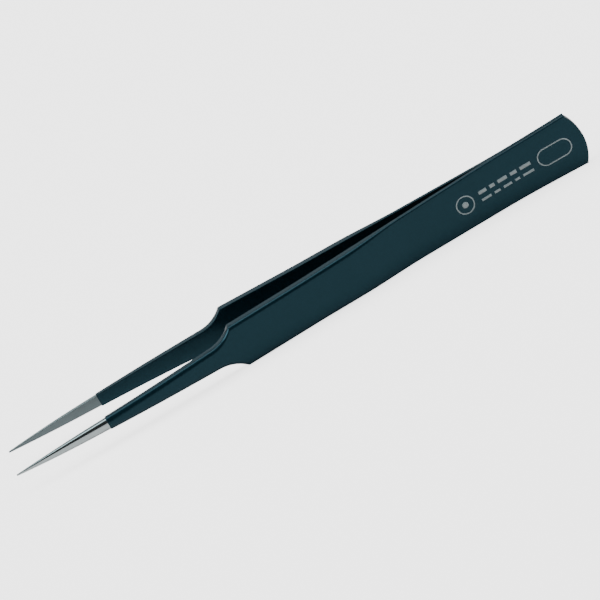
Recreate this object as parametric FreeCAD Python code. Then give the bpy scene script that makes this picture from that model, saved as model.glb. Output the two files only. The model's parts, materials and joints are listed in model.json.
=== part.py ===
import FreeCAD, Part
import math
import os

# Precision tweezers: two stainless leaf arms, spot welded together at the heel, with needle tips.
# A thin coating covers everything but the tips. Each arm bends in its thin spring zone behind the
# grip, and that bend is one upright hinge line here, with a round knuckle between heel and blade.
#
# Millimetres. The tweezers lie on the long lower edges of their arms: X runs along them, with the
# tips at -X and the heel at +X, Y across the opening, with the left arm at -Y, and Z up.
# A station is a distance forward from the coated heel end. A depth is measured through the leaf,
# outwards from the bare inner face of its steel.

# Lengths along the arms
leaf_length = 67.3
shoulder_run = 4.8
neck_length = 20.4
bare_tip_length = 17.5
heel_crown = 1.35
flare_length = 14.0
taper_length = 39.0

# Widths of the steel
heel_width = 9.48
waist_width = 8.80
grip_width = 7.63
neck_root_width = 3.45
neck_end_width = 2.02
tip_width = 0.26
tip_side_bulge = 0.10

# Thicknesses of the steel and of what covers it
spring_thickness = 0.68
grip_thickness = 1.72
neck_thickness = 1.32
tip_thickness = 0.24
tip_back_bulge = 0.14
coating = 0.12
ink = 0.02

# The ramp on the outer face, from the thin spring zone to the thick grip
ramp_start = 33.0
ramp_length = 12.0

# Bends of the arms, as seen from above
opening_angle = 4.0
tip_angle = 0.45
heel_bend_start = 12.0
heel_bend_length = 6.0
neck_bend_length = 15.0

# The hinge line of each arm
hinge_station = 26.0
knuckle_clearance = 0.015
tip_gap_when_closed = 0.03

# Spot welds, counted back from the start of the heel bend
weld_count = 3
weld_to_bend = 0.2
weld_pitch = 3.5
weld_diameter = 2.8
weld_depth = 0.25

# Plain printed marks on the outside of the left arm
mark_line = 0.20
oval_station = 5.6
oval_length = 6.4
oval_width = 3.2
ring_to_hinge = 1.45
ring_diameter = 3.3
ring_dot_diameter = 1.1
bars_to_neighbours = 1.2
bar_gap = 0.65
upper_bar_height = 0.62
upper_bar_level = 0.55
upper_bar_shares = (1.5, 0.9, 1.3, 0.7, 1.1)
lower_bar_height = 0.42
lower_bar_level = -0.85
lower_bar_shares = (1.8, 0.8, 1.4, 1.0, 1.6)

# Stations and sizes that follow from these
shoulder_foot = leaf_length + shoulder_run
coat_edge = shoulder_foot + neck_length
total_length = coat_edge + bare_tip_length
neck_bend_start = coat_edge - neck_bend_length
taper_end = flare_length + taper_length
ramp_end = ramp_start + ramp_length
ring_station = hinge_station - ring_to_hinge - ring_diameter / 2
bars_start = oval_station + oval_length / 2 + bars_to_neighbours
bars_end = ring_station - ring_diameter / 2 - bars_to_neighbours
opening = math.radians(opening_angle)
tip_turn = math.radians(tip_angle)
bends = (
    (heel_bend_start, heel_bend_start + heel_bend_length, opening),
    (neck_bend_start, coat_edge, tip_turn),
)
overrun = 5.0


def vec(x, y, z=0.0):
    return FreeCAD.Vector(x, y, z)


def line(a, b):
    return Part.LineSegment(a, b).toShape()


def arc(a, b, c):
    return Part.Arc(a, b, c).toShape()


def face_of(edges):
    return Part.Face(Part.Wire(Part.__sortEdges__(edges)))


def inner_face(station):
    """Distance from the middle plane, and slope, of the steel's inner face at a station."""
    height = 0.0
    angle = 0.0
    reached = 0.0
    for start, end, angle_after in bends:
        height += (min(station, start) - reached) * math.tan(angle)
        if station <= start:
            return height, angle
        radius = (end - start) / (math.sin(angle_after) - math.sin(angle))
        turned = math.asin(math.sin(angle) + (min(station, end) - start) / radius)
        height += radius * (math.cos(angle) - math.cos(turned))
        if station <= end:
            return height, turned
        angle = angle_after
        reached = end
    return height + (station - reached) * math.tan(angle), angle


def leaf_point(station, depth):
    """A point of the right arm in plan, at a depth from its inner face."""
    height, angle = inner_face(station)
    return vec(-(station - depth * math.sin(angle)), height + depth * math.cos(angle))


def leaf_arc(start, end, depth_start, depth_end):
    middle = (start + end) / 2
    return arc(
        leaf_point(start, depth_start),
        leaf_point(middle, (depth_start + depth_end) / 2),
        leaf_point(end, depth_end),
    )


def inner_edges(grow):
    edges = []
    reached = -overrun
    for start, end, _ in bends:
        edges.append(line(leaf_point(reached, -grow), leaf_point(start, -grow)))
        edges.append(leaf_arc(start, end, -grow, -grow))
        reached = end
    return edges


def neck_depth(station):
    """Thickness of the steel between the shoulder and the edge of the coating."""
    share = (station - leaf_length) / (coat_edge - leaf_length)
    return grip_thickness + share * (neck_thickness - grip_thickness)


def outer_edges(grow):
    thin = spring_thickness + grow
    thick = grip_thickness + grow
    bend_depth = neck_depth(neck_bend_start) + grow
    bend_start, bend_end, _ = bends[0]
    ramp = Part.BezierCurve()
    third = ramp_length / 3
    ramp.setPoles([
        leaf_point(ramp_start, thin),
        leaf_point(ramp_start + third, thin),
        leaf_point(ramp_end - third, thick),
        leaf_point(ramp_end, thick),
    ])
    return [
        line(leaf_point(-overrun, thin), leaf_point(bend_start, thin)),
        leaf_arc(bend_start, bend_end, thin, thin),
        line(leaf_point(bend_end, thin), leaf_point(ramp_start, thin)),
        ramp.toShape(),
        line(leaf_point(ramp_end, thick), leaf_point(leaf_length, thick)),
        line(leaf_point(leaf_length, thick), leaf_point(neck_bend_start, bend_depth)),
        leaf_arc(neck_bend_start, coat_edge, bend_depth, neck_thickness + grow),
    ]


def plan_face(grow, with_tip):
    """The right arm as seen from above, grown by a layer, to its point or to the coating's edge."""
    edges = inner_edges(grow) + outer_edges(grow)
    edges.append(line(leaf_point(-overrun, -grow), leaf_point(-overrun, spring_thickness + grow)))
    front_inner = leaf_point(coat_edge, -grow)
    front_outer = leaf_point(coat_edge, neck_thickness + grow)
    if with_tip:
        point_inner = leaf_point(total_length, 0)
        point_outer = leaf_point(total_length, tip_thickness)
        middle = leaf_point(
            coat_edge + bare_tip_length / 2,
            (neck_thickness + tip_thickness) / 2 + tip_back_bulge,
        )
        edges.append(line(front_inner, point_inner))
        edges.append(line(point_inner, point_outer))
        edges.append(arc(front_outer, middle, point_outer))
    else:
        edges.append(line(front_inner, front_outer))
    return face_of(edges)


def upper_outline(grow):
    """The upper long edge of an arm as seen from the side, from heel corner to tip."""
    heel = vec(-(coating + heel_crown - grow), 0, heel_width / 2 + grow)
    waist = vec(-flare_length, 0, waist_width / 2 + grow)
    grip = vec(-taper_end, 0, grip_width / 2 + grow)
    taper_rise = (waist_width - grip_width) / 2 / taper_length
    middle = (heel + waist) / 2
    flare_rise = heel.z - waist.z - taper_rise * (heel.x - waist.x)
    middle.z -= flare_rise / 4
    drop = (grip_width - neck_root_width) / 2
    hollow_radius = (shoulder_run ** 2 + drop ** 2) / (2 * drop)
    centre = vec(-shoulder_foot, 0, neck_root_width / 2 + hollow_radius)
    radius = hollow_radius - grow
    corner_angle = math.acos((centre.z - grip.z) / radius)
    corner = centre + vec(radius * math.sin(corner_angle), 0, -radius * math.cos(corner_angle))
    half = centre + vec(radius * math.sin(corner_angle / 2), 0, -radius * math.cos(corner_angle / 2))
    foot = centre + vec(0, 0, -radius)
    neck_end = vec(-coat_edge, 0, neck_end_width / 2 + grow)
    tip = vec(-total_length, 0, tip_width / 2 + grow)
    tip_middle = (neck_end + tip) / 2 + vec(0, 0, tip_side_bulge)
    edges = [
        arc(heel, middle, waist),
        line(waist, grip),
        line(grip, corner),
        arc(corner, half, foot),
        line(foot, neck_end),
        arc(neck_end, tip_middle, tip),
    ]
    return heel, corner, tip, edges


def side_face(grow):
    heel, _, tip, upper = upper_outline(grow)
    lower = [edge.mirror(vec(0, 0), vec(0, 0, 1)) for edge in upper]
    heel_end = arc(heel, vec(grow - coating, 0), vec(heel.x, 0, -heel.z))
    front = line(tip, vec(tip.x, 0, -tip.z))
    return face_of(upper + lower + [heel_end, front])


def arm(grow, with_tip):
    """The whole right arm, grown by a layer."""
    side_depth = vec(0, leaf_point(total_length, grip_thickness).y + 2 * overrun)
    side = side_face(grow).extrude(side_depth).translated(-side_depth / 4)
    height = vec(0, 0, heel_width + 2 * overrun)
    plan = plan_face(grow, with_tip).extrude(height).translated(-height / 2)
    return side.common(plan).Solids[0]


def mirrored(shape):
    return shape.mirror(vec(0, 0), vec(0, 1))


# The hinge line stands in the middle of the spring leaf
hinge_point = leaf_point(hinge_station, spring_thickness / 2)
hinge_slope = inner_face(hinge_station)[1]


def front_of_hinge(radius):
    """All the space in front of the hinge line, and a round knuckle on the line itself."""
    size = vec(total_length, 2 * total_length, heel_width + 4 * overrun)
    box = Part.makeBox(size.x, size.y, size.z, vec(-size.x, -size.y / 2, -size.z / 2))
    knuckle = Part.makeCylinder(radius, size.z, vec(0, 0, -size.z / 2))
    turn = FreeCAD.Rotation(vec(0, 0, 1), -math.degrees(hinge_slope))
    space = box.fuse(knuckle)
    space.Placement = FreeCAD.Placement(hinge_point, turn)
    return space


# Bare and coated arms, and the radii of the knuckle and of its socket
steel_arm = arm(0.0, True)
coated_arm = arm(coating, False)
steel_knuckle = spring_thickness / 2
coated_knuckle = steel_knuckle + coating
coated_socket = coated_knuckle + knuckle_clearance
steel_socket = coated_socket + coating


def blade():
    """The right arm's steel in front of the hinge line: spring, grip, neck and bare needle tip."""
    return steel_arm.common(front_of_hinge(steel_knuckle))


def blade_coating():
    return coated_arm.common(front_of_hinge(coated_knuckle)).cut(blade())


def heel_leaf_blank():
    return steel_arm.cut(front_of_hinge(steel_socket))


def spot_weld(number):
    last = heel_bend_start - weld_to_bend - weld_diameter / 2
    station = last - number * weld_pitch
    start = vec(-station, -weld_depth)
    return Part.makeCylinder(weld_diameter / 2, 2 * weld_depth, start, vec(0, 1))


def spot_welds():
    return [spot_weld(number) for number in range(weld_count)]


def heel_leaf():
    """The right arm's steel behind the hinge line, with half of each weld taken out of it."""
    leaf = heel_leaf_blank()
    for weld in spot_welds():
        leaf = leaf.cut(weld)
    return leaf


def coated_heel():
    return coated_arm.cut(front_of_hinge(coated_socket))


def heel_coating(marks):
    """One skin round both leaves of the heel, which forks where they part, with room for its marks."""
    blank = heel_leaf_blank()
    skin = coated_heel().fuse(mirrored(coated_heel()))
    skin = skin.cut(blank).cut(mirrored(blank))
    return skin.cut(marks)


def ink_layer():
    """The outermost layer of the coating on the left heel's outside, which ink takes up in the marks."""
    under = arm(coating - ink, False)
    inward = coated_heel().translated(vec(0, -spring_thickness))
    return mirrored(coated_heel().cut(under).cut(inward))


def printed(face):
    """A flat mark, drawn in the side view, let into the outside of the left arm, flush with it."""
    reach = leaf_point(hinge_station, spring_thickness + coating).y
    return face.extrude(vec(0, -2 * reach)).common(ink_layer()).Solids


def disc(station, height, radius):
    centre = vec(-station, 0, height)
    return Part.Face(Part.Wire(Part.Circle(centre, vec(0, 1), radius).toShape()))


def oval(length, width):
    """A stadium on the heel's middle line."""
    end = width / 2
    half = length / 2 - end
    left = -oval_station - half
    right = -oval_station + half
    return face_of([
        line(vec(left, 0, end), vec(right, 0, end)),
        arc(vec(right, 0, end), vec(right + end, 0), vec(right, 0, -end)),
        line(vec(right, 0, -end), vec(left, 0, -end)),
        arc(vec(left, 0, -end), vec(left - end, 0), vec(left, 0, end)),
    ])


def oval_mark():
    inside = oval(oval_length - 2 * mark_line, oval_width - 2 * mark_line)
    return printed(oval(oval_length, oval_width).cut(inside))


def bar_row(level, height, shares):
    """Plain bars of uneven length, which together fill the room between oval and ring."""
    gaps = bar_gap * (len(shares) - 1)
    unit = (bars_end - bars_start - gaps) / sum(shares)
    bars = []
    station = bars_start
    for share in shares:
        length = share * unit
        corner = vec(-station - length, 0, level - height / 2)
        bars += printed(Part.makePlane(length, height, corner, vec(0, -1), vec(1, 0)))
        station += length + bar_gap
    return bars


def bar_marks():
    upper = bar_row(upper_bar_level, upper_bar_height, upper_bar_shares)
    return upper + bar_row(lower_bar_level, lower_bar_height, lower_bar_shares)


def ring_mark():
    outer = ring_diameter / 2
    ring = disc(ring_station, 0, outer).cut(disc(ring_station, 0, outer - mark_line))
    dot = disc(ring_station, 0, ring_dot_diameter / 2)
    return printed(ring) + printed(dot)


def lying_down():
    """Pitches the tweezers so that heel and shoulder corners both touch z = 0, and centres them."""
    heel, corner, _, _ = upper_outline(coating)
    pitch = math.atan((heel.z - corner.z) / (heel.x - corner.x))
    lowest = heel.x * math.sin(pitch) - heel.z * math.cos(pitch)
    rotation = FreeCAD.Rotation(vec(0, 1), -math.degrees(pitch))
    return FreeCAD.Placement(vec(total_length * math.cos(pitch) / 2, 0, -lowest), rotation)


def parts():
    """Every node's name and its solids."""
    marks = {"oval_mark": oval_mark(), "bar_marks": bar_marks(), "ring_mark": ring_mark()}
    printed_solids = [solid for solids in marks.values() for solid in solids]
    return marks | {
        "left_heel_leaf": [mirrored(heel_leaf())],
        "right_heel_leaf": [heel_leaf()],
        "spot_welds": spot_welds(),
        "heel_coating": heel_coating(printed_solids).Solids,
        "left_blade": [mirrored(blade())],
        "right_blade": [blade()],
        "left_blade_coating": [mirrored(blade_coating())],
        "right_blade_coating": [blade_coating()],
    }


def report_joints(lie):
    """Prints where the hinge lines are, which way they point and how far the arms close."""
    inner_tip = leaf_point(total_length, 0)
    lever = inner_tip - hinge_point
    reach = math.hypot(lever.x, lever.y)
    start = math.asin(lever.y / reach)
    end = math.asin((tip_gap_when_closed / 2 - hinge_point.y) / reach)
    print("right hinge point", lie.multVec(hinge_point))
    print("hinge axis", lie.Rotation.multVec(vec(0, 0, 1)))
    print("closing angle", math.degrees(start - end))


def main():
    os.makedirs("parts", exist_ok=True)
    lie = lying_down()
    for name, solids in parts().items():
        shape = Part.makeCompound(solids)
        shape.Placement = lie.multiply(shape.Placement)
        shape.exportStep(f"parts/{name}.step")
        print(name, len(shape.Solids), round(shape.Volume, 3), shape.isValid())
    report_joints(lie)


if __name__ == "__main__":
    main()
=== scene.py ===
import json
import math

import bpy
from mathutils import Matrix, Vector


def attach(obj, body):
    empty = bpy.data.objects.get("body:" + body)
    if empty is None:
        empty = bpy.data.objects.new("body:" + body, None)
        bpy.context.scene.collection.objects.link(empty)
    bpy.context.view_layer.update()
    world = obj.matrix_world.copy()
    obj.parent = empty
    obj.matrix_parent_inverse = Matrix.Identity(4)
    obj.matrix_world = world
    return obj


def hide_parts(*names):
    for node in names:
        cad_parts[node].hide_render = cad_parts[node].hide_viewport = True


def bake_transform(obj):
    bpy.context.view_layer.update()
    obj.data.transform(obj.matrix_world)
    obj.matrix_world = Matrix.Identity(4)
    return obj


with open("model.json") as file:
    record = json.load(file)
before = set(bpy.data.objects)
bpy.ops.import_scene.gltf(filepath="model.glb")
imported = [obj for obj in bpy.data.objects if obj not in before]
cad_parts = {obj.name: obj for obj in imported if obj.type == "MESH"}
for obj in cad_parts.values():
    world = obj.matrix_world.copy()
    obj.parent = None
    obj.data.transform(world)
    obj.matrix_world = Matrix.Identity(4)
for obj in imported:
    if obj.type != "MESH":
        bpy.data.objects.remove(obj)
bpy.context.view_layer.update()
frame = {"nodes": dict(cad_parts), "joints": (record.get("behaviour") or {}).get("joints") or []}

bl_info = {
    "name": "Precision Tweezers",
    "version": (1, 0, 0),
    "blender": (4, 5, 0),
    "location": "3D View > Sidebar > Tweezers",
    "description": "Builds coated needle-point tweezers around their packed CAD frame",
    "category": "Object",
}

MM = 0.001

# The arms' shape is worked out flat, in the tweezers' own upright frame: a station is a distance
# forward from the heel end, "through" runs out through the leaf and "across" runs up its width.
# The frame's hinge lines then say how the whole thing lies.


def size(name, millimetres, description):
    return bpy.props.FloatProperty(
        name=name, description=description, default=millimetres * MM,
        min=0.0, unit="LENGTH", precision=5,
    )


def angle(name, degrees, description):
    return bpy.props.FloatProperty(
        name=name, description=description, default=math.radians(degrees), unit="ROTATION",
    )


def colour(name, default, description):
    return bpy.props.FloatVectorProperty(
        name=name, description=description, default=default,
        size=3, min=0.0, max=1.0, subtype="COLOR",
    )


class TweezersSizes(bpy.types.PropertyGroup):
    """Sizes of one arm and of what covers it"""

    leaf_length: size("Leaf Length", 67.3, "Heel end to the corner of the shoulder")
    shoulder_run: size("Shoulder Run", 4.8, "Length of the hollow curve from leaf to neck")
    neck_length: size("Neck Length", 20.4, "Foot of the shoulder to the edge of the coating")
    bare_tip_length: size("Bare Tip Length", 17.5, "Edge of the coating to the point")
    heel_crown: size("Heel Crown", 1.35, "How far the heel end bulges")
    flare_length: size("Flare Length", 14.0, "Length over which the heel flares out")
    taper_length: size("Taper Length", 39.0, "Length of the leaf's straight taper")
    heel_width: size("Heel Width", 9.48, "Width of the steel at the heel's corners")
    waist_width: size("Waist Width", 8.80, "Width of the steel where the flare starts")
    grip_width: size("Grip Width", 7.63, "Width of the steel at the grip")
    neck_root_width: size("Neck Root Width", 3.45, "Width of the steel at the shoulder's foot")
    neck_end_width: size("Neck End Width", 2.02, "Width of the steel where it leaves the coating")
    tip_width: size("Tip Width", 0.26, "Width of the point")
    tip_side_bulge: size("Tip Side Bulge", 0.10, "Bulge of the tip's two edges")
    spring_thickness: size("Spring Thickness", 0.68, "Thickness of the steel behind the grip")
    grip_thickness: size("Grip Thickness", 1.72, "Thickness of the steel at the grip")
    neck_thickness: size("Neck Thickness", 1.32, "Thickness of the steel at the neck's end")
    tip_thickness: size("Tip Thickness", 0.24, "Thickness of the point")
    tip_back_bulge: size("Tip Back Bulge", 0.14, "Bulge of the tip's back")
    ramp_start: size("Ramp Start", 33.0, "Station where the outer face starts to rise")
    ramp_length: size("Ramp Length", 12.0, "Length of the rise to the grip's thickness")
    heel_bend_start: size("Heel Bend Start", 12.0, "Station where the leaves part")
    heel_bend_length: size("Heel Bend Length", 6.0, "Length of the bend at the heel")
    neck_bend_length: size("Neck Bend Length", 15.0, "Length of the inward bend of the neck")
    opening_angle: angle("Opening Angle", 4.0, "Slope of each arm away from the middle")
    tip_angle: angle("Tip Angle", 0.45, "Slope of the bare tips")
    coating: size("Coating", 0.12, "Thickness of the coating")
    spring_edge: size("Spring Edge Radius", 0.13, "Rounding of the steel's outer edges at the spring")
    grip_edge: size("Grip Edge Radius", 0.50, "Rounding of the steel's outer edges at the grip")
    neck_edge: size("Neck Edge Radius", 0.90, "Rounding of the neck's back, up its width")
    neck_back: size("Neck Back Radius", 0.62, "Rounding of the neck's back, through its thickness")
    tip_edge: size("Tip Edge Radius", 0.09, "Rounding of the point's back, up its width")
    tip_back: size("Tip Back Radius", 0.06, "Rounding of the point's back, through its thickness")
    inner_edge: size("Inner Edge Radius", 0.10, "Rounding of the edges that face the other arm")
    shoulder_corner: size("Shoulder Corner Radius", 0.22, "Softening of the shoulder's corner")
    seam: size("Seam", 0.005, "Half of the hairline between the two coatings at the heel")
    hinge_station: size("Hinge Station", 26.0, "Station of the hinge line")
    flex_start: size("Flex Start", 25.2, "Station where the arm starts to bend")
    flex_end: size("Flex End", 40.0, "Station where the arm has bent all the way")


class TweezersMarks(bpy.types.PropertyGroup):
    """Sizes of the plain printed marks"""

    film: size("Film", 0.012, "How far the ink stands proud")
    line: size("Line", 0.20, "Width of the drawn lines")
    oval_station: size("Oval Station", 5.6, "Station of the oval's centre")
    oval_length: size("Oval Length", 6.4, "Length of the oval")
    oval_width: size("Oval Width", 3.2, "Width of the oval")
    ring_station: size("Ring Station", 22.9, "Station of the ring's centre")
    ring_diameter: size("Ring Diameter", 3.3, "Outside of the ring")
    ring_dot: size("Ring Dot", 1.1, "Diameter of the ring's dot")
    bars_to_neighbours: size("Bars To Neighbours", 1.2, "Room between the bars and oval or ring")
    bar_gap: size("Bar Gap", 0.65, "Room between two bars of a row")
    upper_bar_rise: size("Upper Bar Rise", 0.55, "Middle of the upper row above the leaf's middle line")
    upper_bar_height: size("Upper Bar Height", 0.62, "Height of the upper row's bars")
    lower_bar_drop: size("Lower Bar Drop", 0.85, "Middle of the lower row below the leaf's middle line")
    lower_bar_height: size("Lower Bar Height", 0.42, "Height of the lower row's bars")


class TweezersFinishes(bpy.types.PropertyGroup):
    """Colours of the tweezers and of the stage"""

    coat: colour("Coating", (0.0032, 0.0118, 0.0170), "Dark blue-green satin coating")
    coat_light: colour("Coating Light", (0.0050, 0.0170, 0.0245), "The same where it is thin")
    coat_sheen: colour("Coating Sheen", (0.30, 0.72, 0.90), "Tint of what the coating mirrors")
    steel: colour("Steel", (0.50, 0.565, 0.57), "Ground stainless steel")
    # Darker than the ground steel, partly for the matt finish of the inner faces and partly as painted shade
    # between the two arms
    matt_steel: colour("Matt Steel With Painted Shade", (0.200, 0.246, 0.256), "Steel of the matt inner faces")
    ink: colour("Ink", (0.40, 0.46, 0.47), "Light grey ink")
    lamp: colour("Lamps", (0.80, 0.96, 1.0), "Cool light of the lamps")
    floor: colour("Floor", (0.96, 0.80, 0.77), "Pale floor, as warm as the lamps are cool")
    backdrop: colour("Backdrop", (0.94, 0.94, 0.94), "What the camera sees behind the tweezers")


# ---------------------------------------------------------------- formulas as node trees


class Term:
    """A value inside a node tree, which can be written in formulas."""

    def __init__(self, tree, socket):
        self.tree = tree
        self.socket = socket

    def __add__(self, other):
        return math_node(self.tree, "ADD", self, other)

    def __sub__(self, other):
        return math_node(self.tree, "SUBTRACT", self, other)

    def __rsub__(self, other):
        return math_node(self.tree, "SUBTRACT", other, self)

    def __mul__(self, other):
        return math_node(self.tree, "MULTIPLY", self, other)

    def __truediv__(self, other):
        return math_node(self.tree, "DIVIDE", self, other)

    __radd__ = __add__
    __rmul__ = __mul__


def plug(tree, value, socket):
    """Joins a term, a socket or a plain value to an input."""
    if isinstance(value, Term):
        value = value.socket
    if isinstance(value, bpy.types.NodeSocket):
        tree.links.new(value, socket)
    else:
        socket.default_value = value


def node(tree, kind, settings=None, **inputs):
    """A node with its settings, and its inputs joined by name."""
    made = tree.nodes.new(kind)
    for name, value in (settings or {}).items():
        setattr(made, name, value)
    for name, value in inputs.items():
        plug(tree, value, made.inputs[name.replace("_", " ")])
    return made


def math_node(tree, operation, *values):
    made = node(tree, "ShaderNodeMath", {"operation": operation})
    for value, socket in zip(values, made.inputs):
        plug(tree, value, socket)
    return Term(tree, made.outputs[0])


def share_of(tree, value, start, end, smooth=False):
    """0 before start, 1 after end, and in between a straight or a smooth rise."""
    kind = "SMOOTHSTEP" if smooth else "LINEAR"
    made = node(tree, "ShaderNodeMapRange", {"interpolation_type": kind, "clamp": True})
    plug(tree, value, made.inputs["Value"])
    plug(tree, start, made.inputs["From Min"])
    plug(tree, end, made.inputs["From Max"])
    return Term(tree, made.outputs["Result"])


def least(tree, a, b):
    return math_node(tree, "MINIMUM", a, b)


def most(tree, a, b):
    return math_node(tree, "MAXIMUM", a, b)


def geometry_tree(name, groups):
    """A geometry tree with one named input for every size in the groups. Returns it with its terms."""
    tree = bpy.data.node_groups.new(name, "GeometryNodeTree")
    interface = tree.interface
    interface.new_socket("Geometry", in_out="INPUT", socket_type="NodeSocketGeometry")
    interface.new_socket("Geometry", in_out="OUTPUT", socket_type="NodeSocketGeometry")
    interface.new_socket("Side", in_out="INPUT", socket_type="NodeSocketFloat")
    interface.new_socket("Material", in_out="INPUT", socket_type="NodeSocketMaterial")
    keys = []
    for group in groups:
        for key, prop in group.bl_rna.properties.items():
            if prop.type == "FLOAT" and not prop.is_array:
                interface.new_socket(prop.name, in_out="INPUT", socket_type="NodeSocketFloat")
                keys.append((key, prop.name))
    source = tree.nodes.new("NodeGroupInput")
    terms = {key: Term(tree, source.outputs[label]) for key, label in keys}
    terms["side"] = Term(tree, source.outputs["Side"])
    return tree, source, terms


def fill_inputs(modifier, values):
    """Sets a geometry modifier's inputs by their labels."""
    for item in modifier.node_group.interface.items_tree:
        if item.item_type == "SOCKET" and item.in_out == "INPUT" and item.name in values:
            modifier[item.identifier] = values[item.name]


def labelled(group):
    """A property group's sizes by their labels."""
    floats = (p for p in group.bl_rna.properties if p.type == "FLOAT" and not p.is_array)
    return {p.name: getattr(group, p.identifier) for p in floats}


# ---------------------------------------------------------------- the rule of an arm's shape


def bend_travel(tree, station, start, length):
    """How far an edge with slope 1 after a bend has moved out by a station."""
    inside = least(tree, most(tree, station - start, 0.0), length)
    beyond = most(tree, station - start - length, 0.0)
    return inside * inside / (length * 2.0) + beyond


def inner_face(tree, t, station):
    """Distance of the steel's inner face from the middle plane."""
    opening = math_node(tree, "TANGENT", t["opening_angle"])
    tip = math_node(tree, "TANGENT", t["tip_angle"])
    neck_bend_start = coat_edge(t) - t["neck_bend_length"]
    parted = bend_travel(tree, station, t["heel_bend_start"], t["heel_bend_length"])
    turned = bend_travel(tree, station, neck_bend_start, t["neck_bend_length"])
    return opening * parted - (opening - tip) * turned


def coat_edge(t):
    return t["leaf_length"] + t["shoulder_run"] + t["neck_length"]


def thickness(tree, t, station):
    """Thickness of the steel: thin spring, ramp, thick grip, neck, and tip with a bulged back."""
    ramp_end = t["ramp_start"] + t["ramp_length"]
    edge = coat_edge(t)
    ramp = share_of(tree, station, t["ramp_start"], ramp_end, smooth=True)
    neck = share_of(tree, station, t["leaf_length"], edge)
    tip = share_of(tree, station, edge, edge + t["bare_tip_length"])
    body = t["spring_thickness"] + (t["grip_thickness"] - t["spring_thickness"]) * ramp
    thinned = body - (t["grip_thickness"] - t["neck_thickness"]) * neck
    pointed = thinned - (t["neck_thickness"] - t["tip_thickness"]) * tip
    return pointed + t["tip_back_bulge"] * tip * (1.0 - tip) * 4.0


def half_width(tree, t, station, grow):
    """Half the width of the arm, grown by a layer: flare, taper, grip, hollow shoulder, neck, tip."""
    taper_end = t["flare_length"] + t["taper_length"]
    taper_slope = (t["waist_width"] - t["grip_width"]) / (t["taper_length"] * 2.0)
    leaf = t["grip_width"] / 2.0 + taper_slope * most(tree, taper_end - station, 0.0)
    flare_run = t["flare_length"] - t["heel_crown"] - t["coating"]
    flare_share = most(tree, t["flare_length"] - station, 0.0) / flare_run
    flare_rise = (t["heel_width"] - t["waist_width"]) / 2.0 - taper_slope * flare_run
    leaf = leaf + flare_rise * flare_share * flare_share + grow
    drop = (t["grip_width"] - t["neck_root_width"]) / 2.0
    hollow = (t["shoulder_run"] * t["shoulder_run"] + drop * drop) / (drop * 2.0)
    foot = t["leaf_length"] + t["shoulder_run"]
    back = most(tree, foot - station, 0.0)
    radius = hollow - grow
    sunk = math_node(tree, "SQRT", most(tree, radius * radius - back * back, 0.0))
    shoulder = t["neck_root_width"] / 2.0 + hollow - sunk
    outline = math_node(tree, "SMOOTH_MIN", leaf, shoulder, t["shoulder_corner"])
    neck = share_of(tree, station, foot, foot + t["neck_length"])
    edge = coat_edge(t)
    tip = share_of(tree, station, edge, edge + t["bare_tip_length"])
    outline = outline - (t["neck_root_width"] - t["neck_end_width"]) / 2.0 * neck
    outline = outline - (t["neck_end_width"] - t["tip_width"]) / 2.0 * tip
    return outline + t["tip_side_bulge"] * tip * (1.0 - tip) * 4.0


def outer_rounding(tree, t, station, spring, grip, neck, tip):
    """Rounding of the steel's long outer edges, from its values at the spring, grip, neck and tip."""
    ramp_end = t["ramp_start"] + t["ramp_length"]
    edge = coat_edge(t)
    along_ramp = share_of(tree, station, t["ramp_start"], ramp_end, smooth=True)
    along_neck = share_of(tree, station, t["leaf_length"], edge)
    along_tip = share_of(tree, station, edge, edge + t["bare_tip_length"])
    radius = t[spring] + (t[grip] - t[spring]) * along_ramp
    radius = radius - (t[grip] - t[neck]) * along_neck
    return radius - (t[neck] - t[tip]) * along_tip


# The two steels keep this many times the coatings' distance from the middle plane
STEEL_SEAM = 4.0


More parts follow.
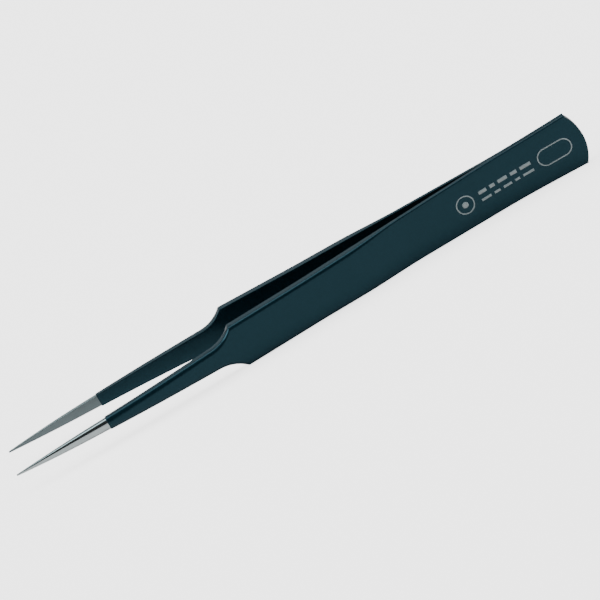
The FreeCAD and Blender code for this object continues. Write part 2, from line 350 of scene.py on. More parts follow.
def arm_tree():
    """Shapes a straight unit sleeve into an arm. The sleeve's x is the station, y runs from the inner
    face (0) to the outer face (1), and z across the leaf from -1 to 1."""
    tree, source, t = geometry_tree("Arm Shape", (TweezersSizes,))
    place = node(tree, "ShaderNodeSeparateXYZ", Vector=node(tree, "GeometryNodeInputPosition").outputs[0])
    station, through, across = (Term(tree, out) for out in place.outputs)
    named = node(tree, "GeometryNodeInputNamedAttribute", {"data_type": "FLOAT_VECTOR"}, Name="rounding")
    rounding = node(tree, "ShaderNodeSeparateXYZ", Vector=named.outputs["Attribute"])
    inset, round_through, round_across = (Term(tree, out) for out in rounding.outputs)
    layer = node(tree, "GeometryNodeInputNamedAttribute", {"data_type": "FLOAT"}, Name="layer")
    layer = Term(tree, layer.outputs["Attribute"])

    grow = layer * t["coating"]
    heel_half = t["heel_width"] / 2.0 + grow
    crown = t["heel_crown"]
    crown_radius = (heel_half * heel_half + crown * crown) / (crown * 2.0)
    level = across * heel_half
    bulge = crown_radius - math_node(tree, "SQRT", crown_radius * crown_radius - level * level)
    fade = 1.0 - share_of(tree, station, 0.0, t["flare_length"], smooth=True)
    along = station + bulge * fade

    outward = through * 2.0 - 1.0
    outer_side = outer_rounding(tree, t, along, "spring_edge", "grip_edge", "neck_edge", "tip_edge")
    outer_back = outer_rounding(tree, t, along, "spring_edge", "grip_edge", "neck_back", "tip_back")
    inner_round = least(tree, t["inner_edge"], outer_back) * (1.0 - through)
    round_side = most(tree, inner_round + (outer_side + grow) * through - inset, 0.0)
    round_back = most(tree, inner_round + (outer_back + grow) * through - inset, 0.0)
    depth = inner_face(tree, t, along) + thickness(tree, t, along) * through
    depth = depth + (grow - inset) * outward + round_back * round_through
    seam = t["seam"] * (STEEL_SEAM - layer * (STEEL_SEAM - 1.0))
    depth = most(tree, depth, seam + inset)
    height = across * (half_width(tree, t, along, grow) - inset) + round_side * round_across

    where = node(tree, "ShaderNodeCombineXYZ")
    for value, socket in zip((along * -1.0, depth * t["side"], height), where.inputs):
        plug(tree, value, socket)
    moved = node(tree, "GeometryNodeSetPosition", Geometry=source.outputs["Geometry"])
    plug(tree, where.outputs[0], moved.inputs["Position"])
    right = node(tree, "FunctionNodeCompare", {"operation": "GREATER_THAN"}, A=t["side"], B=0.0)
    flipped = node(tree, "GeometryNodeFlipFaces", Mesh=moved.outputs[0], Selection=right.outputs[0])
    finish_tree(tree, source, flipped.outputs[0])
    return tree


def finish_tree(tree, source, geometry):
    real = node(tree, "GeometryNodeRealizeInstances", Geometry=geometry)
    smooth = node(tree, "GeometryNodeSetShadeSmooth", Geometry=real.outputs[0], Shade_Smooth=True)
    painted = node(tree, "GeometryNodeSetMaterial", Geometry=smooth.outputs[0])
    plug(tree, source.outputs["Material"], painted.inputs["Material"])
    sink = tree.nodes.new("NodeGroupOutput")
    tree.links.new(painted.outputs[0], sink.inputs["Geometry"])


# ---------------------------------------------------------------- unit sleeves


# Steps across a face, round a long edge and round an end
FACE_COLUMNS = 12
ARC_STEPS = 5
END_STEPS = 4

# Shares of the coating's thickness: rounding of its heel end and of its front edge, and how far
# in front of that edge the last even station lies
HEEL_ROUNDING = 0.5
FRONT_ROUNDING = 0.8
LEAD = 4

# Rounding of the point, as a share of its thickness, and reach of the shoulder's softened corner
POINT_ROUNDING = 0.45
CORNER_REACH = 3


def section():
    """Once round the leaf, as (through, across, rounding through, rounding across) of each corner: the
    inner face downwards, the lower edges, the outer face upwards and the upper edges."""
    columns = [2.0 * step / FACE_COLUMNS - 1.0 for step in range(FACE_COLUMNS + 1)]
    turns = [math.pi / 2 * step / ARC_STEPS for step in range(1, ARC_STEPS + 1)]
    inner_arc = [(0.0, 1.0 - math.cos(turn), math.sin(turn) - 1.0) for turn in turns]
    outer_arc = [(1.0, math.cos(turn) - 1.0, math.sin(turn) - 1.0) for turn in turns]
    inner = [(0.0, across, 0.0, -across) for across in reversed(columns)]
    lower = [(through, -1.0, a, -b) for through, a, b in inner_arc + outer_arc[::-1]]
    outer = [(1.0, across, 0.0, -across) for across in columns]
    upper = [(through, 1.0, a, b) for through, a, b in outer_arc + inner_arc[::-1]]
    return inner + lower + outer + upper


def end_cap(first, backwards):
    """Faces that close the ring of vertices starting at first: strips across the leaf, and its two edges."""
    count = len(section())
    last_inner = FACE_COLUMNS
    first_outer = FACE_COLUMNS + 1 + 2 * ARC_STEPS
    faces = []
    for step in range(FACE_COLUMNS):
        opposite = first_outer + FACE_COLUMNS - step
        faces.append([step, step + 1, opposite - 1, opposite])
    faces.append(list(range(last_inner, first_outer + 1)))
    faces.append(list(range(first_outer + FACE_COLUMNS, count)) + [0])
    ordered = [face[::-1] if backwards else face for face in faces]
    return [[first + corner for corner in face] for face in ordered]


def sleeve(name, rings):
    """A closed tube through rings given as (station, inset, layer), in metres and shares."""
    corners = section()
    count = len(corners)
    vertices, rounding, layers, insides = [], [], [], []
    for station, inset, layer in rings:
        for through, across, round_through, round_across in corners:
            vertices.append((station, through, across))
            rounding.append((inset, round_through, round_across))
            layers.append(layer)
            insides.append(float(through == 0.0 and round_through == 0.0))
    faces = end_cap(0, True) + end_cap(count * (len(rings) - 1), False)
    for ring in range(len(rings) - 1):
        for corner in range(count):
            a = ring * count + corner
            b = ring * count + (corner + 1) % count
            faces.append([a, b, b + count, a + count])
    mesh = bpy.data.meshes.new(name)
    mesh.from_pydata(vertices, [], faces)
    vector = mesh.attributes.new("rounding", "FLOAT_VECTOR", "POINT")
    vector.data.foreach_set("vector", [value for triple in rounding for value in triple])
    mesh.attributes.new("layer", "FLOAT", "POINT").data.foreach_set("value", layers)
    mesh.attributes.new("inside", "FLOAT", "POINT").data.foreach_set("value", insides)
    return mesh


def spread(start, spans):
    """Stations from start on, each span given as (end, number of steps)."""
    stations = [start]
    for end, steps in spans:
        begin = stations[-1]
        stations += [begin + (end - begin) * step / steps for step in range(1, steps + 1)]
    return stations


def coated_length(s):
    return s.leaf_length + s.shoulder_run + s.neck_length


def corner_station(s, grow):
    """Station of the corner where the leaf turns into the hollow shoulder."""
    drop = (s.grip_width - s.neck_root_width) / 2
    hollow = (s.shoulder_run ** 2 + drop ** 2) / (2 * drop)
    level = s.neck_root_width / 2 + hollow - s.grip_width / 2 - grow
    radius = hollow - grow
    return s.leaf_length + s.shoulder_run - math.sqrt(radius ** 2 - level ** 2)


def leaf_stations(s, start, grow):
    """Stations along the coated length, close together where the outline or the faces turn."""
    corner = corner_station(s, grow)
    near = CORNER_REACH * s.shoulder_corner
    bend_end = s.heel_bend_start + s.heel_bend_length
    foot = s.leaf_length + s.shoulder_run
    return spread(start, [
        (s.heel_bend_start, 16), (bend_end, 8), (s.ramp_start, 12),
        (s.ramp_start + s.ramp_length, 16), (corner - near, 14), (corner + near, 16),
        (foot, 20), (foot + MM, 4), (coated_length(s) - LEAD * s.coating, 20),
    ])


def round_end(station, radius, layer, opening):
    """Rings that round an end off: opening up from the end's face, or closing down to it."""
    turns = [math.pi / 2 * step / END_STEPS for step in range(END_STEPS + 1)]
    way = 1.0 if opening else -1.0
    rings = [
        (station + way * radius * (1.0 - math.cos(turn)), radius * (1.0 - math.sin(turn)), layer)
        for turn in turns
    ]
    return rings if opening else rings[::-1]


# Where the coating's inside lies, as a share of its thickness out from the steel
INNER_WALL = 0.08


def coat_rings(s):
    """Out along the coating's outside from the heel, in at its front edge and back along its inside."""
    edge = coated_length(s)
    heel_round = HEEL_ROUNDING * s.coating
    outside = round_end(0.0, heel_round, 1.0, True)
    outside += [(x, 0.0, 1.0) for x in leaf_stations(s, heel_round, s.coating)[1:]]
    front = round_end(edge, FRONT_ROUNDING * s.coating, 1.0, False)
    inner_start = s.coating * (1.0 - INNER_WALL)
    inside = [(x, 0.0, INNER_WALL) for x in leaf_stations(s, inner_start, 0.0)]
    return outside + front + [(edge, 0.0, INNER_WALL)] + inside[::-1]


def steel_rings(s):
    """The steel from its heel end to its point."""
    edge = coated_length(s)
    tip_end = edge + s.bare_tip_length
    point = POINT_ROUNDING * s.tip_thickness
    heel = [(x, 0.0, 0.0) for x in leaf_stations(s, s.coating, 0.0)]
    bare = spread(edge - LEAD * s.coating, [(edge, 4), (tip_end - point, 30)])
    tip = [(x, 0.0, 0.0) for x in bare[1:-1]]
    return heel + tip + round_end(tip_end, point, 0.0, False)


# ---------------------------------------------------------------- materials


def shader_group(name, inputs):
    """A shader node group with named inputs and their defaults, and a tone, roughness and height out."""
    tree = bpy.data.node_groups.new(name, "ShaderNodeTree")
    for label, default in inputs.items():
        made = tree.interface.new_socket(label, in_out="INPUT", socket_type="NodeSocketFloat")
        made.default_value = default
    for label in ("Tone", "Roughness", "Height"):
        tree.interface.new_socket(label, in_out="OUTPUT", socket_type="NodeSocketFloat")
    source = tree.nodes.new("NodeGroupInput")
    sink = tree.nodes.new("NodeGroupOutput")
    return tree, source, sink


def noise(tree, vector, scale, detail, roughness):
    made = node(tree, "ShaderNodeTexNoise", Vector=vector, Scale=scale, Detail=detail, Roughness=roughness)
    return Term(tree, made.outputs["Fac"])


def grain_group():
    """Fine grain of a sprayed and baked coating: tone, roughness and height from object coordinates."""
    inputs = {
        "Grain Scale": 9000.0,
        "Cloud Scale": 160.0,
        "Base Roughness": 0.4,
        "Roughness Spread": 0.1,
    }
    tree, source, sink = shader_group("Surface Grain", inputs)
    place = tree.nodes.new("ShaderNodeTexCoord").outputs["Object"]
    grain = noise(tree, place, source.outputs["Grain Scale"], 3.0, 0.6)
    cloud = noise(tree, place, source.outputs["Cloud Scale"], 4.0, 0.55)
    tone = share_of(tree, grain * 0.55 + cloud * 0.45, 0.30, 0.70)
    spread_term = Term(tree, source.outputs["Roughness Spread"])
    rough = Term(tree, source.outputs["Base Roughness"]) + (cloud - 0.5) * spread_term
    plug(tree, tone, sink.inputs["Tone"])
    plug(tree, rough, sink.inputs["Roughness"])
    plug(tree, grain, sink.inputs["Height"])
    return tree


def grind_group():
    """Grinding lines that run along X: tone, roughness and height from object coordinates."""
    inputs = {
        "Line Scale": 9000.0,
        "Broad Scale": 350.0,
        "Stretch": 0.04,
        "Base Roughness": 0.3,
        "Roughness Spread": 0.15,
    }
    tree, source, sink = shader_group("Grinding Lines", inputs)
    place = tree.nodes.new("ShaderNodeTexCoord").outputs["Object"]
    squeeze = node(tree, "ShaderNodeCombineXYZ", X=source.outputs["Stretch"], Y=1.0, Z=1.0)
    drawn = node(tree, "ShaderNodeVectorMath", {"operation": "MULTIPLY"})
    plug(tree, place, drawn.inputs[0])
    plug(tree, squeeze.outputs[0], drawn.inputs[1])
    fine = noise(tree, drawn.outputs[0], source.outputs["Line Scale"], 3.0, 0.6)
    broad = noise(tree, place, source.outputs["Broad Scale"], 2.0, 0.5)
    tone = share_of(tree, fine * 0.7 + broad * 0.3, 0.25, 0.75)
    rough = Term(tree, source.outputs["Base Roughness"])
    rough = rough + (fine - 0.5) * Term(tree, source.outputs["Roughness Spread"])
    plug(tree, tone, sink.inputs["Tone"])
    plug(tree, rough, sink.inputs["Roughness"])
    plug(tree, fine, sink.inputs["Height"])
    return tree


def principled(name):
    material = bpy.data.materials.new(name)
    material.use_nodes = True
    return material, material.node_tree, material.node_tree.nodes["Principled BSDF"]


def group_node(tree, group, **inputs):
    made = tree.nodes.new("ShaderNodeGroup")
    made.node_tree = group
    for label, value in inputs.items():
        plug(tree, value, made.inputs[label.replace("_", " ")])
    return made


def opaque(rgb):
    return (*rgb, 1.0)


def mixed(tree, share, first, second):
    """A colour between two colours, by share."""
    made = tree.nodes.new("ShaderNodeMix")
    made.data_type = "RGBA"
    sockets = {socket.identifier: socket for socket in made.inputs}
    plug(tree, share, sockets["Factor_Float"])
    plug(tree, first, sockets["A_Color"])
    plug(tree, second, sockets["B_Color"])
    return next(socket for socket in made.outputs if socket.identifier == "Result_Color")


def bumped(tree, height, distance):
    made = node(tree, "ShaderNodeBump", Height=height, Distance=distance, Strength=1.0)
    return made.outputs["Normal"]


def dimmed(rgb, share):
    return tuple(share * channel for channel in rgb)


def toned(tree, texture, dark, light):
    """A colour that the texture's tone takes from dark to light."""
    return mixed(tree, texture.outputs["Tone"], opaque(dark), opaque(light))


def coating_material(finishes, grain):
    """Satin polymer coating with a fine sprayed grain."""
    material, tree, surface = principled("Coating")
    texture = group_node(tree, grain, Grain_Scale=7000.0, Base_Roughness=0.23, Roughness_Spread=0.10)
    plug(tree, toned(tree, texture, finishes.coat, finishes.coat_light), surface.inputs["Base Color"])
    plug(tree, texture.outputs["Roughness"], surface.inputs["Roughness"])
    plug(tree, bumped(tree, texture.outputs["Height"], 0.012 * MM), surface.inputs["Normal"])
    surface.inputs["Specular IOR Level"].default_value = 0.55
    surface.inputs["Specular Tint"].default_value = opaque(finishes.coat_sheen)
    return material


def steel_material(finishes, lines):
    """Ground stainless steel, its lines along the arm."""
    material, tree, surface = principled("Ground_Steel")
    texture = group_node(tree, lines, Line_Scale=14000.0, Base_Roughness=0.20, Roughness_Spread=0.08)
    inside = node(tree, "ShaderNodeAttribute", {"attribute_name": "inside"}).outputs["Fac"]
    outer_steel = toned(tree, texture, dimmed(finishes.steel, 0.82), finishes.steel)
    # The inner faces get the darker matt colour, which is partly painted shade between the arms, and more
    # roughness
    inner_steel_with_painted_shade = toned(tree, texture, dimmed(finishes.matt_steel, 0.75), finishes.matt_steel)
    plug(tree, mixed(tree, inside, outer_steel, inner_steel_with_painted_shade), surface.inputs["Base Color"])
    rough = Term(tree, texture.outputs["Roughness"]) + Term(tree, inside) * 0.25
    plug(tree, rough, surface.inputs["Roughness"])
    plug(tree, bumped(tree, texture.outputs["Height"], 0.0015 * MM), surface.inputs["Normal"])
    surface.inputs["Metallic"].default_value = 1.0
    surface.inputs["Anisotropic"].default_value = 0.4
    return material


def weld_material(finishes, grain):
    """Dull steel of the weld nuggets."""
    material, tree, surface = principled("Weld_Steel")
    texture = group_node(tree, grain, Grain_Scale=2500.0, Base_Roughness=0.5, Roughness_Spread=0.2)
    nugget = toned(tree, texture, dimmed(finishes.steel, 0.6), dimmed(finishes.steel, 0.8))
    plug(tree, nugget, surface.inputs["Base Color"])
    plug(tree, texture.outputs["Roughness"], surface.inputs["Roughness"])
    plug(tree, bumped(tree, texture.outputs["Height"], 0.02 * MM), surface.inputs["Normal"])
    surface.inputs["Metallic"].default_value = 1.0
    return material


def ink_material(finishes, grain):
    """Screen-printed ink, a little uneven."""
    material, tree, surface = principled("Ink")
    texture = group_node(tree, grain, Grain_Scale=9000.0, Base_Roughness=0.6, Roughness_Spread=0.2)
    ink = toned(tree, texture, dimmed(finishes.ink, 0.86), finishes.ink)
    plug(tree, ink, surface.inputs["Base Color"])
    plug(tree, texture.outputs["Roughness"], surface.inputs["Roughness"])
    plug(tree, bumped(tree, texture.outputs["Height"], 0.004 * MM), surface.inputs["Normal"])
    return material


def floor_material(finishes, grain):
    """Smooth pale sheet under the tweezers."""
    material, tree, surface = principled("Floor")
    texture = group_node(tree, grain, Grain_Scale=900.0, Base_Roughness=0.8, Roughness_Spread=0.1)
    sheet = toned(tree, texture, dimmed(finishes.floor, 0.985), finishes.floor)
    plug(tree, sheet, surface.inputs["Base Color"])
    plug(tree, texture.outputs["Roughness"], surface.inputs["Roughness"])
    surface.inputs["Specular IOR Level"].default_value = 0.1
    surface.inputs["Emission Color"].default_value = opaque(finishes.backdrop)
    seen = Term(tree, tree.nodes.new("ShaderNodeLightPath").outputs["Is Camera Ray"])
    plug(tree, seen * BACKDROP_GLOW, surface.inputs["Emission Strength"])
    return material


def shared(name, build):
    """A node group that more than one piece or material uses, made once."""
    return bpy.data.node_groups.get(name) or build()


# ---------------------------------------------------------------- where the tweezers lie


def joint(name):
    return next(found for found in frame["joints"] if found["name"] == name)


def placement(s):
    """From the upright frame of the shape (x = minus the station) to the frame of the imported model."""
    hinge = joint("right_arm_squeeze")
    pitch = math.atan2(-hinge["axis"][0], hinge["axis"][2])
    turned = Matrix.Rotation(-pitch, 4, "Y")
    half_leaf = 0.5 * s.spring_thickness
    own_hinge = Vector((half_leaf * math.sin(s.opening_angle) - s.hinge_station, 0.0, 0.0))
    shift = Vector(hinge["pos_m"]) - turned @ own_hinge
    shift.y = 0.0
    return Matrix.Translation(shift) @ turned


def place_of(s, station):
    return placement(s) @ Vector((-station, 0.0, 0.0))


# ---------------------------------------------------------------- pieces


SIDES = {"left": -1.0, "right": 1.0}


def shaped(name, base, tree, side, material, s, marks=None):
    """A new object whose mesh is the base shaped by a geometry tree and laid in its place."""
    obj = bpy.data.objects.new(name, base)
    bpy.context.scene.collection.objects.link(obj)
    modifier = obj.modifiers.new("Shape", "NODES")
    modifier.node_group = tree
    values = {"Side": side, "Material": material, **labelled(s)}
    if marks:
        values.update(labelled(marks))
    fill_inputs(modifier, values)
    weighted = obj.modifiers.new("Even Shading", "WEIGHTED_NORMAL")
    weighted.weight = 90
    seen = obj.evaluated_get(bpy.context.evaluated_depsgraph_get())
    mesh = bpy.data.meshes.new_from_object(seen)
    obj.modifiers.clear()
    obj.data = mesh
    mesh.name = name
    bpy.data.meshes.remove(base)
    mesh.transform(placement(s))
    if not mesh.polygons:
        raise RuntimeError(f"{name} came out empty")
    return obj


def flex(obj, s):
    """Works out the stations where the arm would bend, leaves them unused, and bakes the piece's placement
    into its mesh.
    """
    start = place_of(s, s.flex_start)
    place_of(s, s.flex_end)
    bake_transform(obj)


# How many films deep the ink's underside is sunk in the coating
SUNK = 2.0


def lift_onto_leaf(tree, t, place):
    """Lays flat artwork, given as (station, 0 or 1 for under or over, height), on the leaf's outside."""
    parts = node(tree, "ShaderNodeSeparateXYZ", Vector=place)
    station, over, level = (Term(tree, out) for out in parts.outputs)
    surface = inner_face(tree, t, station) + thickness(tree, t, station) + t["coating"]
    depth = surface + t["film"] * (over * (1.0 + SUNK) - SUNK)
    where = node(tree, "ShaderNodeCombineXYZ")
    for value, socket in zip((station * -1.0, depth * t["side"], level), where.inputs):
        plug(tree, value, socket)
    return where.outputs[0]


def artwork_tree():
    """Lays a drawn outline on the leaf."""
    tree, source, t = geometry_tree("Printed Artwork", (TweezersSizes, TweezersMarks))
    place = node(tree, "GeometryNodeInputPosition").outputs[0]
    laid = node(tree, "GeometryNodeSetPosition", Geometry=source.outputs["Geometry"])
    plug(tree, lift_onto_leaf(tree, t, place), laid.inputs["Position"])
    finish_tree(tree, source, laid.outputs[0])
    return tree


BAR_STEPS = 10


def bars_tree():
    """Sets a bar on every point, as long and high as the point's bar size says, and lays it on the leaf."""
    tree, source, t = geometry_tree("Printed Bars", (TweezersSizes, TweezersMarks))
    bar = node(tree, "GeometryNodeMeshCube", Size=(1.0, 1.0, 1.0), Vertices_X=BAR_STEPS)
    wanted = node(tree, "GeometryNodeInputNamedAttribute", {"data_type": "FLOAT_VECTOR"}, Name="bar_size")
    set_out = node(tree, "GeometryNodeInstanceOnPoints", Points=source.outputs["Geometry"])
    plug(tree, bar.outputs["Mesh"], set_out.inputs["Instance"])
    plug(tree, wanted.outputs["Attribute"], set_out.inputs["Scale"])
    real = node(tree, "GeometryNodeRealizeInstances", Geometry=set_out.outputs[0])
    place = node(tree, "GeometryNodeInputPosition").outputs[0]
    laid = node(tree, "GeometryNodeSetPosition", Geometry=real.outputs[0])
    plug(tree, lift_onto_leaf(tree, t, place), laid.inputs["Position"])
    finish_tree(tree, source, laid.outputs[0])
    return tree


OUTLINE_STEPS = 48


def stadium(station, length, width):
    """Points round a stadium, as (station, height)."""
    radius = 0.5 * width
    reach = 0.5 * length - radius
    turns = [2 * math.pi * step / OUTLINE_STEPS for step in range(OUTLINE_STEPS)]
    return [
        (station + math.copysign(reach, math.cos(turn)) + radius * math.cos(turn), radius * math.sin(turn))
        for turn in turns
    ]


def circle(station, diameter):
    return stadium(station, diameter, diameter)


# The ring's dot is a band as well, round a hole of this share of its diameter, too small to see
DOT_PINHOLE = 0.02


def band(name, outer, inner):
    """A flat band between two outlines with the same number of points."""
    count = len(outer)
    vertices = [(x, over, z) for over in (0.0, 1.0) for line in (outer, inner) for x, z in line]
    faces = []
    for step in range(count):
        after = (step + 1) % count
        under_out, under_in, over_out, over_in = (
            (line * count + step, line * count + after) for line in range(4)
        )
        faces.append([under_out[0], under_in[0], under_in[1], under_out[1]])
        faces.append([over_out[0], over_out[1], over_in[1], over_in[0]])
        faces.append([under_out[0], under_out[1], over_out[1], over_out[0]])
        faces.append([under_in[0], over_in[0], over_in[1], under_in[1]])
    mesh = bpy.data.meshes.new(name)
    mesh.from_pydata(vertices, [], faces)
    return mesh


UPPER_BAR_SHARES = (1.5, 0.9, 1.3, 0.7, 1.1)
LOWER_BAR_SHARES = (1.8, 0.8, 1.4, 1.0, 1.6)


def bar_points(marks):
    """One point for every bar of both rows, which fill the room between the oval and the ring."""
    start = marks.oval_station + marks.oval_length / 2 + marks.bars_to_neighbours
    end = marks.ring_station - marks.ring_diameter / 2 - marks.bars_to_neighbours
    rows = (
        (marks.upper_bar_rise, marks.upper_bar_height, UPPER_BAR_SHARES),
        (-marks.lower_bar_drop, marks.lower_bar_height, LOWER_BAR_SHARES),
    )
    points, sizes = [], []
    for level, height, shares in rows:
        unit = (end - start - marks.bar_gap * (len(shares) - 1)) / sum(shares)
        station = start
        for share in shares:
            points.append((station + share * unit / 2, 0.5, level))
            sizes += [share * unit, 1.0, height]
            station += share * unit + marks.bar_gap
    mesh = bpy.data.meshes.new("Bar_Points")
    mesh.from_pydata(points, [], [])
    mesh.attributes.new("bar_size", "FLOAT_VECTOR", "POINT").data.foreach_set("vector", sizes)
    return mesh


# ---------------------------------------------------------------- operators


class TWEEZERS_OT_steel_arms(bpy.types.Operator):
    """Make both steel arms, from the heel end to the point"""

    bl_idname = "tweezers.steel_arms"
    bl_label = "Steel Arms"

    def execute(self, context):
        s = context.scene.tweezers_sizes
        finishes = context.scene.tweezers_finishes
        tree = shared("Arm Shape", arm_tree)
        material = steel_material(finishes, shared("Grinding Lines", grind_group))
        for side, sign in SIDES.items():
            name = side.capitalize() + "_Steel_Arm"
            obj = shaped(name, sleeve(name, steel_rings(s)), tree, sign, material, s)
            flex(obj, s)
            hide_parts(side + "_heel_leaf", side + "_blade")
        return {"FINISHED"}


class TWEEZERS_OT_coating(bpy.types.Operator):
    """Make the coating on both arms"""

    bl_idname = "tweezers.coating"
    bl_label = "Coating"

    def execute(self, context):
        s = context.scene.tweezers_sizes
        finishes = context.scene.tweezers_finishes
        tree = shared("Arm Shape", arm_tree)
        material = coating_material(finishes, shared("Surface Grain", grain_group))
        for side, sign in SIDES.items():
            name = side.capitalize() + "_Coating"
            obj = shaped(name, sleeve(name, coat_rings(s)), tree, sign, material, s)
            flex(obj, s)
            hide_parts(side + "_blade_coating", "heel_coating")
        return {"FINISHED"}


class TWEEZERS_OT_printed_marks(bpy.types.Operator):
    """Print the oval, the bars and the ring with its dot on the left arm's outside"""

    bl_idname = "tweezers.printed_marks"
    bl_label = "Printed Marks"

    def execute(self, context):
        s = context.scene.tweezers_sizes
        marks = context.scene.tweezers_marks
        material = ink_material(context.scene.tweezers_finishes, shared("Surface Grain", grain_group))
        artwork = shared("Printed Artwork", artwork_tree)
        bars = shared("Printed Bars", bars_tree)
        lines = 2 * marks.line
        oval = stadium(marks.oval_station, marks.oval_length, marks.oval_width)
        oval_inside = stadium(marks.oval_station, marks.oval_length - lines, marks.oval_width - lines)
        ring = circle(marks.ring_station, marks.ring_diameter)
        ring_inside = circle(marks.ring_station, marks.ring_diameter - lines)
        dot = circle(marks.ring_station, marks.ring_dot)
        pinhole = circle(marks.ring_station, DOT_PINHOLE * marks.ring_dot)
        for name, base, tree, cad_node in (
            ("Oval_Mark", band("Oval_Mark", oval, oval_inside), artwork, "oval_mark"),
            ("Bar_Marks", bar_points(marks), bars, "bar_marks"),
            ("Ring_Mark", band("Ring_Mark", ring, ring_inside), artwork, "ring_mark"),
            ("Ring_Dot", band("Ring_Dot", dot, pinhole), artwork, "ring_mark"),
        ):
            obj = shaped(name, base, tree, SIDES["left"], material, s, marks)
            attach(obj, "heel")
            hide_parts(cad_node)
        return {"FINISHED"}


class TWEEZERS_OT_spot_welds(bpy.types.Operator):
    """Finish the spot welds between the two leaves"""

    bl_idname = "tweezers.spot_welds"
    bl_label = "Spot Welds"

    def execute(self, context):
        finishes = context.scene.tweezers_finishes
        welds = frame["nodes"]["spot_welds"]
        material = weld_material(finishes, shared("Surface Grain", grain_group))
        for slot in welds.material_slots:
            slot.link = "OBJECT"
            slot.material = material
        return {"FINISHED"}


FLOOR_SIZE = 12.0

# Strength of the room's light on everything, and of what the camera alone sees of floor and room
ROOM_LIGHT = 0.035
BACKDROP_GLOW = 2.6

# Name, place, width and height in metres, and power in watts. Each lamp faces the tweezers.
LAMPS = (
    ("Top_Light", (0.0, 0.35, 1.2), 1.6, 0.9, 11.4),
    ("Back_Light", (0.0, 1.5, 0.5), 2.0, 0.7, 2.2),
    ("Left_Light", (-1.3, 0.0, 0.9), 1.0, 1.0, 20.4),
    ("Right_Light", (1.3, 0.0, 0.9), 1.0, 1.0, 20.4),
)

# The camera's turns in degrees, its distance and framing in millimetres, and its lens
CAMERA_AROUND = 0.6206
CAMERA_ABOVE = 22.6316
CAMERA_ROLL = 30.3269
CAMERA_DISTANCE = 750
FRAMED_RIGHT = 0.428
FRAMED_DOWN = 0.188
SENSOR_WIDTH = 36.0
FOCAL_LENGTH = 269.26


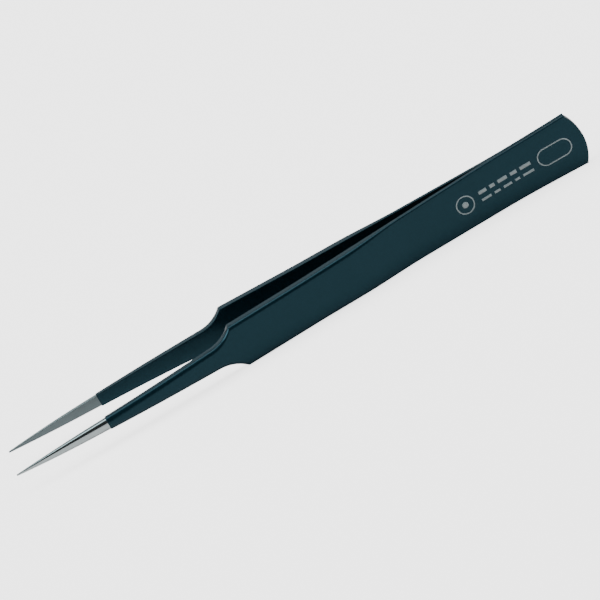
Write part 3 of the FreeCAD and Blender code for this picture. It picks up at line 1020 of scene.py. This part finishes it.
class TWEEZERS_OT_stage(bpy.types.Operator):
    """Set out the floor, the light and the camera"""

    bl_idname = "tweezers.stage"
    bl_label = "Stage"

    def execute(self, context):
        self.lay_floor(context)
        self.hang_lights(context)
        self.aim_camera(context)
        return {"FINISHED"}

    def lay_floor(self, context):
        half = FLOOR_SIZE / 2
        mesh = bpy.data.meshes.new("Floor")
        corners = [(-half, -half, 0), (half, -half, 0), (half, half, 0), (-half, half, 0)]
        mesh.from_pydata(corners, [], [[0, 1, 2, 3]])
        floor = bpy.data.objects.new("Floor", mesh)
        context.scene.collection.objects.link(floor)
        grain = shared("Surface Grain", grain_group)
        mesh.materials.append(floor_material(context.scene.tweezers_finishes, grain))

    def hang_lights(self, context):
        world = bpy.data.worlds.new("Studio")
        context.scene.world = world
        world.use_nodes = True
        tree = world.node_tree
        seen = Term(tree, tree.nodes.new("ShaderNodeLightPath").outputs["Is Camera Ray"])
        background = tree.nodes["Background"]
        background.inputs["Color"].default_value = (1.0, 1.0, 1.0, 1.0)
        plug(tree, seen * BACKDROP_GLOW + ROOM_LIGHT, background.inputs["Strength"])
        for name, place, width, height, power in LAMPS:
            data = bpy.data.lights.new(name, "AREA")
            data.shape = "RECTANGLE"
            data.size = width
            data.size_y = height
            data.energy = power
            data.color = context.scene.tweezers_finishes.lamp
            light = bpy.data.objects.new(name, data)
            light.location = place
            light.rotation_euler = Vector(place).to_track_quat("Z", "Y").to_euler()
            context.scene.collection.objects.link(light)

    def aim_camera(self, context):
        """Looks at the tweezers' middle from a little above, with the camera rolled."""
        s = context.scene.tweezers_sizes
        turns = (CAMERA_AROUND, CAMERA_ABOVE, CAMERA_ROLL)
        around, above, roll = (math.radians(degrees) for degrees in turns)
        forward = Vector((
            -math.sin(around) * math.cos(above), math.cos(around) * math.cos(above), -math.sin(above),
        ))
        right = Vector((math.cos(around), math.sin(around), 0.0))
        up = right.cross(forward)
        rolled_right = right * math.cos(roll) - up * math.sin(roll)
        rolled_up = right * math.sin(roll) + up * math.cos(roll)
        middle = Vector((-(coated_length(s) + s.bare_tip_length) / 2, 0.0, 0.0))
        place = middle - forward * CAMERA_DISTANCE * MM
        place = place + rolled_right * FRAMED_RIGHT * MM - rolled_up * FRAMED_DOWN * MM
        turned = Matrix((rolled_right, rolled_up, -forward)).transposed().to_4x4()
        data = bpy.data.cameras.new("Camera")
        data.sensor_width = SENSOR_WIDTH
        data.lens = FOCAL_LENGTH
        camera = bpy.data.objects.new("Camera", data)
        context.scene.collection.objects.link(camera)
        camera.matrix_world = placement(s) @ Matrix.Translation(place) @ turned
        context.scene.camera = camera


class TWEEZERS_PT_panel(bpy.types.Panel):
    """Sizes and finishes of the tweezers, and a button for each step"""

    bl_idname = "TWEEZERS_PT_panel"
    bl_label = "Precision Tweezers"
    bl_space_type = "VIEW_3D"
    bl_region_type = "UI"
    bl_category = "Tweezers"

    def draw(self, context):
        layout = self.layout
        for group in (
            context.scene.tweezers_sizes, context.scene.tweezers_marks, context.scene.tweezers_finishes,
        ):
            box = layout.box()
            for prop in group.bl_rna.properties:
                if prop.identifier not in {"rna_type", "name"}:
                    box.prop(group, prop.identifier)
        for operator in STEPS:
            layout.operator(operator.bl_idname)


STEPS = (
    TWEEZERS_OT_steel_arms,
    TWEEZERS_OT_coating,
    TWEEZERS_OT_printed_marks,
    TWEEZERS_OT_spot_welds,
    TWEEZERS_OT_stage,
)
GROUPS = {
    "tweezers_sizes": TweezersSizes,
    "tweezers_marks": TweezersMarks,
    "tweezers_finishes": TweezersFinishes,
}


def register():
    for cls in (*GROUPS.values(), *STEPS, TWEEZERS_PT_panel):
        bpy.utils.register_class(cls)
    for name, group in GROUPS.items():
        setattr(bpy.types.Scene, name, bpy.props.PointerProperty(type=group))


def unregister():
    for name in GROUPS:
        delattr(bpy.types.Scene, name)
    for cls in (TWEEZERS_PT_panel, *reversed(STEPS), *reversed(tuple(GROUPS.values()))):
        bpy.utils.unregister_class(cls)


def main():
    register()
    bpy.ops.tweezers.steel_arms()
    bpy.ops.tweezers.coating()
    bpy.ops.tweezers.printed_marks()
    bpy.ops.tweezers.spot_welds()
    bpy.ops.tweezers.stage()


if __name__ == "__main__":
    main()
